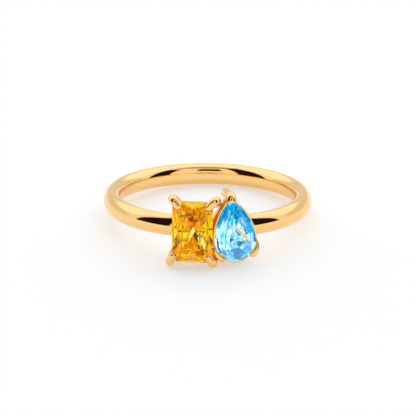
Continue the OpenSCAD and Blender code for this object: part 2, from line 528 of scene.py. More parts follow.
@dataclass(frozen=True)
class CutGem:
    """A clear gem whose back facets are mirrors in painted reflected light and shade, and glow.
    """

    name: str
    ior: float
    skin: Colour
    zone: Colour
    veil: Colour
    painted_glow: float
    zone_scale: float = 420.0
    zone_detail: float = 2.0
    crown_polish: tuple[float, float] = (0.0, 0.012)
    back_polish: tuple[float, float] = (0.015, 0.045)

    def crown(self) -> bpy.types.Material:
        """Builds the clear shader of the facets above the girdle.

        Returns:
            The material.
        """
        shader = Shader(self.name)
        shader.fix({"Transmission Weight": 1.0, "IOR": self.ior, "Specular Tint": self.veil})
        zones = shader.clouds(self.zone_scale, self.zone_detail)
        shader.colour(zones, self.skin, self.zone)
        shader.roughness(zones, *self.crown_polish)
        return shader.look

    def back(self) -> bpy.types.Material:
        """Builds the back facets' mirror shader, coloured and glowing with painted reflected
        light.

        Returns:
            The material.
        """
        shader = Shader(self.name + "_back")
        # Painted glow: the back facets give off their painted light colour, though they are no
        # lamp
        shader.fix({"Metallic": 1.0, "Emission Strength": self.painted_glow})
        shader.painted("tone", "Base Color", "Emission Color")
        zones = shader.clouds(self.zone_scale, self.zone_detail)
        shader.roughness(zones, *self.back_polish)
        return shader.look

    def looks(self) -> tuple[bpy.types.Material, bpy.types.Material]:
        """The two materials, crown first."""
        return self.crown(), self.back()


@dataclass
class Band:
    """The plain band: a flat strip and two quarter circles inside, three arcs outside."""

    bore_r: float = 8.65
    width: float = 2.15
    thickness: float = 1.8
    edge_r: float = 0.75
    seat_cut: float = 0.5
    seat_overhang: float = 8.0
    relief_r: float = 0.5
    relief_depth: float = 0.25
    tool_clear: float = 1.0
    around: int = 360
    side_steps: int = 10
    edge_steps: int = 8
    seat_steps: int = 60
    relief_sides: int = 48

    @property
    def mid_r(self) -> float:
        """Radius of the section's middle."""
        return self.bore_r + self.thickness / 2

    @property
    def outer_r(self) -> float:
        """Radius of the band's outside."""
        return self.mid_r + self.thickness / 2

    @property
    def seat_r(self) -> float:
        """Radius that the band is turned down to under the settings."""
        return self.outer_r - self.seat_cut

    def section(self, bm: BMesh) -> None:
        """Draws the closed section in the plane of x and z.

        Args:
            bm: the shape to draw in.
        """
        half_t, half_w = self.thickness / 2, self.width / 2
        end_z, land_z = half_w - self.edge_r, half_w - half_t
        side_r = (half_t ** 2 + end_z ** 2 - self.edge_r ** 2) / (2 * (half_t - self.edge_r))
        side_x = side_r - half_t
        reach = side_r / (side_r - self.edge_r)
        join = Vector((reach * side_x - side_x, 0, reach * end_z))
        half_sweep = math.atan2(join.z, join.x + side_x)
        edge_sweep = math.pi / 2 - half_sweep
        axis, middle, up = Vector((0, -1, 0)), Vector((self.mid_r, 0, 0)), Vector((0, 0, 1))
        first = bmesh.ops.create_vert(bm, co=middle + Vector((join.x, 0, -join.z)))["vert"][0]
        vert = arc(bm, first, middle - Vector((side_x, 0, 0)), axis, 2 * half_sweep,
                   self.side_steps)
        vert = arc(bm, vert, middle + end_z * up, axis, edge_sweep, self.edge_steps)
        vert = arc(bm, vert, middle + land_z * up, axis, math.pi / 2, self.side_steps)
        foot = bmesh.ops.create_vert(bm, co=vert.co - 2 * land_z * up)["vert"][0]
        bmesh.ops.contextual_create(bm, geom=[vert, foot])
        vert = arc(bm, foot, middle - land_z * up, axis, math.pi / 2, self.side_steps)
        arc(bm, vert, middle - end_z * up, axis, edge_sweep, self.edge_steps)
        bmesh.ops.remove_doubles(bm, verts=bm.verts[:], dist=SAME_SPOT)

    def seat_tool(self, start: float, turn: float) -> BMesh:
        """The ring of metal that is turned off under the settings.

        Args:
            start: where it starts round the finger, in degrees from +x.
            turn: how far it goes, in degrees.

        Returns:
            The ring's closed shape, in the band's frame.
        """
        clear = self.tool_clear
        bm = bmesh.new()
        bmesh.ops.create_grid(bm, x_segments=1, y_segments=1, size=0.5,
                              matrix=Matrix.Rotation(math.radians(start), 4, "Z")
                              @ Matrix.Translation((self.seat_r + clear, 0, 0))
                              @ Matrix.Rotation(math.radians(90), 4, "X")
                              @ Matrix.Diagonal((2 * clear, 3 * self.width, 1, 1)))
        bmesh.ops.spin(bm, geom=bm.faces[:] + bm.edges[:] + bm.verts[:], cent=(0, 0, 0),
                       axis=(0, 0, 1), angle=math.radians(turn), steps=self.seat_steps,
                       use_merge=False, use_duplicate=False)
        bmesh.ops.recalc_face_normals(bm, faces=bm.faces[:])
        return bm

    def relief_tool(self, head: Matrix) -> BMesh:
        """The hole drilled under a culet.

        Args:
            head: the stone's frame, in the ring's frame.

        Returns:
            The drill's closed shape, in the ring's frame.
        """
        depth = self.relief_depth + self.tool_clear
        bm = bmesh.new()
        bmesh.ops.create_cone(bm, cap_ends=True, segments=self.relief_sides,
                              radius1=self.relief_r, radius2=self.relief_r, depth=depth,
                              matrix=head @ Matrix.Translation(
                                  (0, 0, self.seat_r - self.relief_depth + depth / 2)))
        return bm

    def shape(self, first: float, last: float, culets: Sequence[Matrix]) -> BMesh:
        """Spins the section round and cuts the seats.

        Args:
            first: angle of the first setting, in degrees.
            last: angle of the last setting, in degrees.
            culets: the stones' frames, in the ring's frame.

        Returns:
            The band, in the ring's frame.
        """
        bm = bmesh.new()
        self.section(bm)
        bmesh.ops.spin(bm, geom=bm.verts[:] + bm.edges[:], cent=(0, 0, 0), axis=(0, 0, 1),
                       angle=math.radians(360), steps=self.around, use_merge=True,
                       use_duplicate=False)
        bmesh.ops.recalc_face_normals(bm, faces=bm.faces[:])
        tools = [self.seat_tool(first - self.seat_overhang - 90,
                                last - first + 2 * self.seat_overhang)]
        tools += [self.relief_tool(culet) for culet in culets]
        for tool in tools:
            bm = carved(bm, tool)
            tool.free()
        return bm


@dataclass
class Levels:
    """Heights above the finger's axis that both settings share."""

    band: Band
    girdle_h: float = 1.05
    let_in: float = 0.35
    base_h: float = 0.3

    @property
    def girdle(self) -> float:
        """The stones' girdles."""
        return self.band.outer_r + self.girdle_h

    @property
    def foot(self) -> float:
        """The underside of the base frames, let into the band."""
        return self.band.seat_r - self.let_in

    @property
    def base_top(self) -> float:
        """The top of the base frames."""
        return self.band.seat_r + self.base_h


@dataclass
class RadiantStone:
    """The oblong stone with cut corners.

    The places of its inner corners are shares of its width, length and height. A rib's two
    ends are under rib_top, at the culet or past rib_past, and one is as deep as rib_reach.
    """

    width: float = 4.0
    length: float = 6.1
    corner: float = 0.5
    crown: float = 0.56
    girdle: float = 0.08
    pavilion: float = 1.6
    turn: float = -7.15
    table_at: tuple[float, float] = (0.22, 0.32)
    crown_mid: tuple[float, float, float] = (0.265, 0.37, 0.9)
    rib_at: tuple[float, float, float] = (0.27, 0.29, 0.52)
    side_mid: tuple[float, float] = (0.3, 0.54)
    end_mid: tuple[float, float] = (0.32, 0.5)
    flat: float = 0.2
    rib_reach: float = -0.5
    rib_top: float = -0.05
    rib_tip: float = 0.01
    rib_past: tuple[float, float] = (1.0, 1.6)
    rib_w: float = 0.2
    step_w: float = 0.12
    step_depth: float = 0.03
    # Painted reflected light and shade of the back facets, in the stone's own yellow, by group
    girdle_painted_light: Colour = (1.0, 0.8, 0.1)
    rib_painted_light: Colour = STRAW_PAINTED_LIGHT
    end_painted_lights: tuple[Colour, ...] = (AMBER_PAINTED_LIGHT, (0.72, 0.3, 0.02), AMBER_PAINTED_LIGHT, LEMON_PAINTED_LIGHT)
    side_painted_lights: tuple[Colour, ...] = (LEMON_PAINTED_LIGHT, STRAW_PAINTED_LIGHT, LEMON_PAINTED_LIGHT, LEMON_PAINTED_LIGHT, AMBER_PAINTED_LIGHT)
    low_y: float = -0.5
    low_painted_lights: tuple[Colour, ...] = (LEMON_PAINTED_LIGHT, STRAW_PAINTED_LIGHT, (0.42, 0.34, 0.36))
    far_y: float = 2.3
    far_painted_lights: tuple[Colour, ...] = ((1.0, 0.86, 0.3), LEMON_PAINTED_LIGHT, (0.95, 0.68, 0.4))

    def seat(self) -> Matrix:
        """The stone's frame in the ring's, before it is lifted to its girdle's height."""
        return upright(self.turn)

    def corners(self, sx: int, sy: int) -> list[tuple[float, float, float]]:
        """The stone's corner points in one quarter.

        Args:
            sx: sign of x.
            sy: sign of y.

        Returns:
            The points, from the table down.
        """
        w, h, c, p = sx * self.width, sy * self.length, self.crown, self.pavilion
        cut_x, cut_y = sx * self.corner, sy * self.corner
        table = (self.table_at[0] * w, self.table_at[1] * h, c)
        mid_x, mid_y, mid_z = self.crown_mid
        crown_tips = [(mid_x * w, 0, mid_z * c), (0, mid_y * h, mid_z * c)]
        edge = [(w / 2, h / 2 - cut_y, z) for z in (0, -self.girdle)]
        edge += [(w / 2 - cut_x, h / 2, z) for z in (0, -self.girdle)]
        rib_x, rib_y, rib_z = self.rib_at
        ribs = [(rib_x * w, rib_y * h, -rib_z * p),
                (self.side_mid[0] * w, 0, -self.side_mid[1] * p),
                (0, self.end_mid[0] * h, -self.end_mid[1] * p)]
        return [table, *crown_tips, *edge, *ribs, (0, 0, -p)]

    def shape(self, grow: float = 0.0) -> BMesh:
        """Stretches the facets over the corner points.

        Args:
            grow: how much larger all round, for the room in the setting.

        Returns:
            The stone, in its own frame.
        """
        bm = bmesh.new()
        for sx in (1, -1):
            for sy in (1, -1):
                for co in self.corners(sx, sy):
                    bmesh.ops.create_vert(bm, co=co)
        bmesh.ops.remove_doubles(bm, verts=bm.verts[:], dist=ON_PLANE)
        made = bmesh.ops.convex_hull(bm, input=bm.verts[:])
        inside = [g for g in made["geom_interior"] if isinstance(g, BMVert)]
        bmesh.ops.delete(bm, geom=inside, context="VERTS")
        bmesh.ops.dissolve_limit(bm, angle_limit=math.radians(self.flat), verts=bm.verts[:],
                                 edges=bm.edges[:])
        bmesh.ops.recalc_face_normals(bm, faces=bm.faces[:])
        factor = 1 + 2 * grow / self.width
        bmesh.ops.scale(bm, vec=(factor, factor, 1 + grow), verts=bm.verts[:])
        return bm

    def is_rib(self, edge: BMEdge) -> bool:
        """Tells whether an edge runs along a diagonal of the stone's back.

        Args:
            edge: an edge of the stone.

        Returns:
            Whether it does.
        """
        if all(v.co.z > self.rib_reach for v in edge.verts):
            return False
        past_x, past_y = self.rib_past
        return all(v.co.z < self.rib_top and (v.co.xy.length < self.rib_tip
                                              or (abs(v.co.x) > past_x
                                                  and abs(v.co.y) > past_y))
                   for v in edge.verts)

    def gem(self) -> BMesh:
        """Cuts ribs and steps into the stone's back and gives each facet painted reflected light.

        Returns:
            The finished stone, in its own frame.
        """
        bm = self.shape()
        rib = bm.faces.layers.int.new("rib")
        ribs = [e for e in bm.edges if self.is_rib(e)]
        for face in bmesh.ops.bevel(bm, geom=ribs, offset=self.rib_w, segments=1, profile=0.5,
                                    affect="EDGES", material=-1)["faces"]:
            face[rib] = 1
        bm.normal_update()
        plain = [f for f in bm.faces if f.normal.z < GIRDLE_UPWARD and not f[rib]]
        bmesh.ops.inset_individual(bm, faces=plain, thickness=self.step_w,
                                   depth=-self.step_depth, use_even_offset=True)

        def painted_light_of(face: BMFace) -> Colour:
            """Picks a facet's painted reflected light colour.

            Args:
                face: a facet of the stone's back.

            Returns:
                Its painted light colour.
            """
            normal, middle = face.normal, face.calc_center_median()
            if normal.z > GIRDLE_UPWARD:
                return self.girdle_painted_light
            if face[rib]:
                return self.rib_painted_light
            if abs(normal.y) > abs(normal.x):
                far = abs(middle.y) > self.far_y
                return picked(face, self.far_painted_lights if far else self.end_painted_lights)
            return picked(face, self.low_painted_lights if middle.y < self.low_y else self.side_painted_lights)

        paint_facet_light(bm, painted_light_of)
        return bm


@dataclass(frozen=True)
class Facet:
    """A flat cut: the direction it faces, its slope down from level, and a point on it."""

    direction: float
    slope: float
    reach: float
    level: float = 0.0


@dataclass
class PearStone:
    """The pear stone, about the centre of its round end."""

    width: float = 4.05
    length: float = 6.2
    crown: float = 0.56
    girdle: float = 0.08
    pavilion: float = 1.6
    turn: float = 13.35
    lean: float = 6.5
    shift: float = 0.12
    main_slope: float = 35.0
    half_slope: float = 41.0
    star_slope: float = 22.0
    half_steeper: float = 1.03
    mains: tuple[float, ...] = (28, 62, 90, 135)
    halves: tuple[float, ...] = (45, 76, 112, 158)
    # Levels that cut the back facets into bands, only so that each band takes its own painted
    # light
    painted_light_splits: tuple[float, ...] = (-0.3, -0.52, -0.75, -1.0, -1.25)
    flank_steps: int = 28
    # Painted reflected light and shade of the back facets, in the stone's own blue, by group
    girdle_painted_light: Colour = (0.15, 0.62, 0.85)
    point_y_from: float = 1.9
    mid_y_from: float = 0.6
    mid_half_w: float = 0.9
    point_painted_lights: tuple[Colour, ...] = ((0.0, 0.4, 0.58), (0.0, 0.46, 0.66), (0.0, 0.32, 0.5),
                                       (0.3, 0.68, 0.85))
    mid_painted_lights: tuple[Colour, ...] = ((0.36, 0.66, 0.88), (0.75, 0.92, 1.0), (0.3, 0.46, 0.62),
                                     (0.4, 0.72, 0.92))
    flank_painted_lights: tuple[Colour, ...] = ((0.72, 0.96, 1.0), (0.36, 0.78, 0.92), ICE_PAINTED_LIGHT,
                                       (0.0, 0.48, 0.7))
    round_painted_lights: tuple[Colour, ...] = (ICE_PAINTED_LIGHT, (0.36, 0.72, 0.92), (0.02, 0.1, 0.32),
                                       (0.72, 0.94, 1.0), (0.12, 0.58, 0.76), ICE_PAINTED_LIGHT,
                                       (0.28, 0.44, 0.6))

    @property
    def round_r(self) -> float:
        """Radius of the round end."""
        return self.width / 2

    @property
    def point_y(self) -> float:
        """Distance from the round end's centre to the point."""
        return self.length - self.round_r

    @property
    def flank_r(self) -> float:
        """Radius of the two flank arcs."""
        return (self.round_r ** 2 + self.point_y ** 2) / (2 * self.round_r)

    @property
    def flank_x(self) -> float:
        """How far the flank arcs' centres lie from the middle line."""
        return self.flank_r - self.round_r

    def seat(self) -> Matrix:
        """The stone's frame in the ring's, before it is lifted to its girdle's height.

        Returns:
            The frame, at the centre of the round end.
        """
        return upright(self.turn) @ (Matrix.Translation((0, self.shift, 0))
                                     @ Matrix.Rotation(math.radians(self.lean), 4, "Z")
                                     @ Matrix.Translation(
                                         (0, self.round_r - self.length / 2, 0)))

    def reach(self, direction: float) -> float:
        """Distance from the centre to the outline's tangent that faces a direction.

        Args:
            direction: in degrees from +x.

        Returns:
            The distance.
        """
        c, s = math.cos(math.radians(direction)), math.sin(math.radians(direction))
        if s <= 0:
            return self.round_r
        if abs(c) * self.flank_r < self.flank_x:
            return self.point_y * s
        return self.flank_r - self.flank_x * abs(c)

    def outline(self, grow: float = 0.0) -> BMesh:
        """Draws the stone's outline as a closed loop at z = 0.

        Args:
            grow: how far outside the outline.

        Returns:
            The loop.
        """
        steps = self.flank_steps
        bm = bmesh.new()
        flank = self.flank_r + grow
        rise = math.sqrt(flank ** 2 - self.flank_x ** 2)
        sweep = math.atan2(rise, self.flank_x)
        back = Vector((0, 0, -1))
        vert = bmesh.ops.create_vert(bm, co=(0, rise, 0))["vert"][0]
        vert = arc(bm, vert, Vector((-self.flank_x, 0, 0)), back, sweep, steps)
        vert = arc(bm, vert, Vector(), back, math.pi, 2 * steps)
        arc(bm, vert, Vector((self.flank_x, 0, 0)), back, sweep, steps)
        bmesh.ops.remove_doubles(bm, verts=bm.verts[:], dist=SAME_SPOT)
        return bm

    def facets(self) -> list[Facet]:
        """The stone's flat cuts, crown first.

        Returns:
            The cuts.
        """
        main = [-90.0] + [90 + s * a for a in self.mains for s in (1, -1)]
        half = [90.0] + [90 + s * a for a in self.halves for s in (1, -1)]
        inset = self.crown / math.tan(math.radians(self.main_slope))
        depth = self.pavilion - self.girdle
        cuts = [Facet(a, self.main_slope, self.reach(a)) for a in main]
        cuts += [Facet(a, self.half_slope, self.reach(a)) for a in half]
        cuts += [Facet(a, self.star_slope, self.reach(a) - inset, self.crown) for a in half]
        for directions, steeper in ((main, 1.0), (half, self.half_steeper)):
            for a in directions:
                slope = math.degrees(math.atan(steeper * depth / self.reach(a)))
                cuts.append(Facet(a, -slope, self.reach(a), -self.girdle))
        return cuts

    def shape(self, grow: float = 0.0) -> BMesh:
        """Cuts the facets out of a pear-shaped block.

        Args:
            grow: how much larger all round, for the room in the setting.

        Returns:
            The stone, in its own frame.
        """
        bm = self.outline()
        bmesh.ops.edgeloop_fill(bm, edges=bm.edges[:])
        bmesh.ops.translate(bm, vec=(0, 0, -self.pavilion), verts=bm.verts[:])
        grown = bmesh.ops.extrude_face_region(bm, geom=bm.faces[:])["geom"]
        bmesh.ops.translate(bm, vec=(0, 0, self.pavilion + self.crown),
                            verts=[g for g in grown if isinstance(g, BMVert)])
        bmesh.ops.recalc_face_normals(bm, faces=bm.faces[:])
        for cut in self.facets():
            a, slope = math.radians(cut.direction), math.radians(abs(cut.slope))
            out = Vector((math.cos(a), math.sin(a), 0))
            up = 1 if cut.slope > 0 else -1
            normal = out * math.sin(slope) + Vector((0, 0, up * math.cos(slope)))
            spot = out * cut.reach + Vector((0, 0, cut.level))
            made = bmesh.ops.bisect_plane(bm, geom=bm.verts[:] + bm.edges[:] + bm.faces[:],
                                          dist=ON_PLANE, plane_co=spot, plane_no=normal,
                                          clear_outer=True)
            rim = [g for g in made["geom_cut"] if isinstance(g, BMEdge)
                   and len(g.link_faces) < 2]
            if rim:
                bmesh.ops.edgeloop_fill(bm, edges=rim)
        bmesh.ops.remove_doubles(bm, verts=bm.verts[:], dist=2 * SAME_SPOT)
        bmesh.ops.recalc_face_normals(bm, faces=bm.faces[:])
        factor = 1 + 2 * grow / self.width
        bmesh.ops.scale(bm, vec=(factor, factor, 1 + grow), verts=bm.verts[:])
        return bm

    def gem(self) -> BMesh:
        """Divides the stone's back facets and gives each part painted reflected light and shade.

        Returns:
            The finished stone, in its own frame.
        """
        bm = self.shape()
        for level in self.painted_light_splits:
            bmesh.ops.bisect_plane(bm, geom=bm.verts[:] + bm.edges[:] + bm.faces[:],
                                   dist=ON_PLANE, plane_co=(0, 0, level),
                                   plane_no=(0, 0, 1))

        def painted_light_of(face: BMFace) -> Colour:
            """Picks a facet's painted reflected light colour.

            Args:
                face: a facet of the stone's back.

            Returns:
                Its painted light colour.
            """
            middle = face.calc_center_median()
            if face.normal.z > GIRDLE_UPWARD:
                return self.girdle_painted_light
            if middle.y > self.point_y_from:
                return picked(face, self.point_painted_lights)
            if middle.y > self.mid_y_from:
                inner = abs(middle.x) < self.mid_half_w
                return picked(face, self.mid_painted_lights if inner else self.flank_painted_lights)
            return picked(face, self.round_painted_lights)

        paint_facet_light(bm, painted_light_of)
        return bm


def pointing(direction: float, from_up: float) -> Vector:
    """Makes a direction.

    Args:
        direction: where it points in the plane, in radians from +x.
        from_up: how far it leans from +z, in degrees.

    Returns:
        The unit vector.
    """
    lean = math.radians(from_up)
    return Vector((math.cos(direction) * math.sin(lean), math.sin(direction) * math.sin(lean),
                   math.cos(lean)))


def standing(foot: Vector, ahead: Vector) -> Matrix:
    """A frame at a point with its z axis in a direction."""
    return Matrix.Translation(foot) @ ahead.to_track_quat("Z", "Y").to_matrix().to_4x4()


@dataclass
class RadiantSetting:
    """Four round claws on a base frame, with one rail under the girdle.

    Pairs in the claws' sizes are for the lower and the upper claws.
    """

    levels: Levels
    stone: RadiantStone
    post_r: float = 0.45
    tip_r: float = 0.36
    lean: float = 25.0
    knuckle_gap: float = 0.33
    bend_r: float = 0.47
    bend: float = 92.0
    end_l: float = 1.2
    edge: float = 0.33
    post_dir: tuple[float, float] = (62.0, 76.0)
    claw_dir: tuple[float, float] = (62.0, 43.0)
    knee_out: float = 0.17
    knee_up: tuple[float, float] = (0.02, 0.3)
    knee_shift: tuple[float, float] = (-0.07, 0.16)
    base: tuple[tuple[float, float, float], ...] = ((1.78, 1.5, 2.65), (1.15, 1.0, 2.1))
    rail: tuple[tuple[float, float, float], ...] = ((1.78, 1.72, 2.86), (1.2, 1.15, 2.25))
    rail_low: float = -1.05
    rail_high: float = -0.6
    frame_edge: float = 0.07

    def claws(self) -> list[BMesh]:
        """The four claws, bent in over the stone's corners.

        Returns:
            A closed shape for each.
        """
        wires = []
        post = self.levels.girdle - self.levels.foot
        corner = self.knuckle_gap / (2 * math.cos(math.radians(self.bend / 2)))
        spare = self.bend_r * math.tan(math.radians(self.bend / 2)) - corner
        for sx in (1, -1):
            for row, sy in enumerate((-1, 1)):
                knee = (sx * (self.stone.width / 2 + self.knee_out) + self.knee_shift[row],
                        sy * (self.stone.length / 2 + self.knee_up[row]), self.levels.girdle)
                ways = [math.atan2(-sy * math.sin(math.radians(a)),
                                   -sx * math.cos(math.radians(a)))
                        for a in (self.post_dir[row], self.claw_dir[row])]
                upward = pointing(ways[0], -self.lean)
                wire = Wire(self.post_r, standing(Vector(knee) - post * upward, upward))
                wire.run(post - spare, steps=4)
                wire.bend(self.bend_r, pointing(ways[1], self.bend - self.lean))
                wire.run(self.end_l - spare - self.edge, self.tip_r, steps=3)
                wires.append(wire.round_off(self.edge).mesh())
        return wires

    def loop(self, size: tuple[float, float, float]) -> BMesh:
        """Draws a waisted oblong loop at z = 0.

        Args:
            size: half width at the ends, half width at the waist, and half length.

        Returns:
            The loop.
        """
        u, waist, v = size
        bm = bmesh.new()
        points = [(u, -v), (waist, 0), (u, v), (-u, v), (-waist, 0), (-u, -v)]
        verts = [bmesh.ops.create_vert(bm, co=(*p, 0))["vert"][0] for p in points]
        for a, b in zip(verts, verts[1:] + verts[:1]):
            bmesh.ops.contextual_create(bm, geom=[a, b])
        return bm

    def frames(self) -> list[BMesh]:
        """The base frame and the rail.

        Returns:
            A closed shape for each.
        """
        girdle = self.levels.girdle
        spans = ((self.base, self.levels.foot, self.levels.base_top),
                 (self.rail, girdle + self.rail_low, girdle + self.rail_high))
        return [frame_between(self.loop(outer), self.loop(inner), low, high, self.frame_edge)
                for (outer, inner), low, high in spans]


@dataclass
class PearSetting:
    """A broad claw behind the stone's point and two leaf claws, with a rim at the girdle."""

    levels: Levels
    stone: PearStone
    point_r: float = 0.55
    point_out: float = 0.33
    point_lean: float = 2.0
    point_bend_r: float = 0.56
    point_bend: float = 72.0
    point_end_l: float = 0.59
    point_edge: float = 0.07
    point_taper: float = 0.03
    point_sides: int = 56
    leaf_from: float = 4.0
    leaf_to: float = 44.0
    leaf_r: tuple[float, float] = (0.06, 0.37)
    leaf_out: tuple[float, float] = (0.06, 0.12)
    leaf_rise: tuple[float, float] = (-0.12, 0.1)
    leaf_belly: float = 0.12
    leaf_swell: float = 1.15
    leaf_flat: float = 0.02
    leaf_steps: int = 16
    leaf_sides: int = 36
    leaf_post_r: float = 0.42
    leaf_post_out: float = 1.7
    leaf_post_a: float = 30.0
    leaf_post_top: float = -0.2
    post_foot: float = 0.1
    strut_r: float = 0.3
    strut_a: float = 35.0
    strut_in: float = 0.28
    strut_into_rim: float = 0.15
    base: tuple[float, float] = (0.05, -0.6)
    rim: tuple[float, float] = (0.15, -0.42)
    rim_low: float = -0.5
    rim_high: float = -0.1
    frame_edge: float = 0.06

    def point_claw(self) -> list[BMesh]:
        """The broad claw, cut off square over the stone's point.

        Returns:
            Its closed shape, on its own in a list.
        """
        post = self.levels.girdle - self.levels.foot
        spare = self.point_bend_r * math.tan(math.radians(self.point_bend / 2))
        inward = math.radians(-90)
        upward = pointing(inward, -self.point_lean)
        knee = Vector((0, self.stone.point_y + self.point_out, self.levels.girdle))
        wire = Wire(self.point_r, standing(knee - post * upward, upward),
                    sides=self.point_sides)
        wire.run(post - spare, steps=4)
        wire.bend(self.point_bend_r, pointing(inward, self.point_bend - self.point_lean))
        wire.run(self.point_end_l - spare - self.point_edge,
                 self.point_r - self.point_taper, steps=2)
        return [wire.round_off(self.point_edge, steps=4).mesh()]

    def leaf_claw(self, side: int) -> BMesh:
        """One claw that swells along the stone's edge and ends in a round lip on it.

        Args:
            side: 1 for the right, -1 for the left.

        Returns:
            Its closed shape.
        """
        steps = self.leaf_steps
        spots, radii = [], []
        for i in range(steps + 1):
            t = i / steps
            a = math.radians(-(self.leaf_from + (self.leaf_to - self.leaf_from) * t))
            swell = math.sin(math.radians(90) * min(1, t * self.leaf_swell))
            out = self.leaf_out[0] + (self.leaf_out[1] - self.leaf_out[0]) * t
            reach = self.stone.round_r + out + self.leaf_belly * math.sin(math.pi * t)
            rise = self.leaf_rise[0] + (self.leaf_rise[1] - self.leaf_rise[0]) * t
            spots.append(Vector((side * reach * math.cos(a), reach * math.sin(a),
                                 self.levels.girdle + rise)))
            radii.append(self.leaf_r[0] + (self.leaf_r[1] - self.leaf_r[0]) * swell)
        ways = [spots[min(i + 1, steps)] - spots[max(i - 1, 0)] for i in range(steps + 1)]
        wire = Wire(radii[0], standing(spots[0], ways[0]), sides=self.leaf_sides)
        for spot, ahead, radius in list(zip(spots, ways, radii))[1:]:
            wire.place, wire.radius = standing(spot, ahead), radius
            wire.mark()
        return wire.round_off(self.leaf_r[1] - self.leaf_flat).mesh()

    def post(self, a: float, reach: float, radius: float, top: float) -> BMesh:
        """An upright post between the base frame and what it carries.

        Args:
            a: its direction from the round end's centre, in degrees.
            reach: its distance from that centre.
            radius: its radius.
            top: height of its top.

        Returns:
            Its closed shape.
        """
        spot = (reach * math.cos(math.radians(a)), reach * math.sin(math.radians(a)),
                self.levels.foot + self.post_foot)
        return Wire(radius, Matrix.Translation(spot)).run(top - spot[2], steps=3).mesh()

    def leaf_claws(self) -> list[BMesh]:
        """Both leaf claws, with their posts.

        Returns:
            A closed shape for each claw and post.
        """
        top = self.levels.girdle + self.leaf_post_top
        parts = [self.leaf_claw(side) for side in (1, -1)]
        parts += [self.post(a, self.leaf_post_out, self.leaf_post_r, top)
                  for a in (-self.leaf_post_a, self.leaf_post_a - 180)]
        return parts

    def frames(self) -> list[BMesh]:
        """The base frame, the rim under the girdle, and the struts between them.

        Returns:
            A closed shape for each.
        """
        girdle = self.levels.girdle
        spans = ((self.base, self.levels.foot, self.levels.base_top),
                 (self.rim, girdle + self.rim_low, girdle + self.rim_high))
        parts = [frame_between(self.stone.outline(outer), self.stone.outline(inner), low,
                               high, self.frame_edge) for (outer, inner), low, high in spans]
        parts += [self.post(a, self.stone.round_r - self.strut_in, self.strut_r,
                            girdle + self.rim_low + self.strut_into_rim)
                  for a in (self.strut_a, 180 - self.strut_a)]
        return parts


@dataclass(frozen=True)
class Panel:
    """A soft-edged patch of the studio's walls and ceiling, seen from the ring.

    Azimuth is 0 at the front and grows to the right, up to 180 at the back, or on to 360 for
    a panel that reaches round it. Elevation is 0 at the floor's far edge. All are in degrees.
    """

    azimuth: tuple[float, float]
    elevation: tuple[float, float]
    colour: Colour
    soft: float
    around_back: bool = False


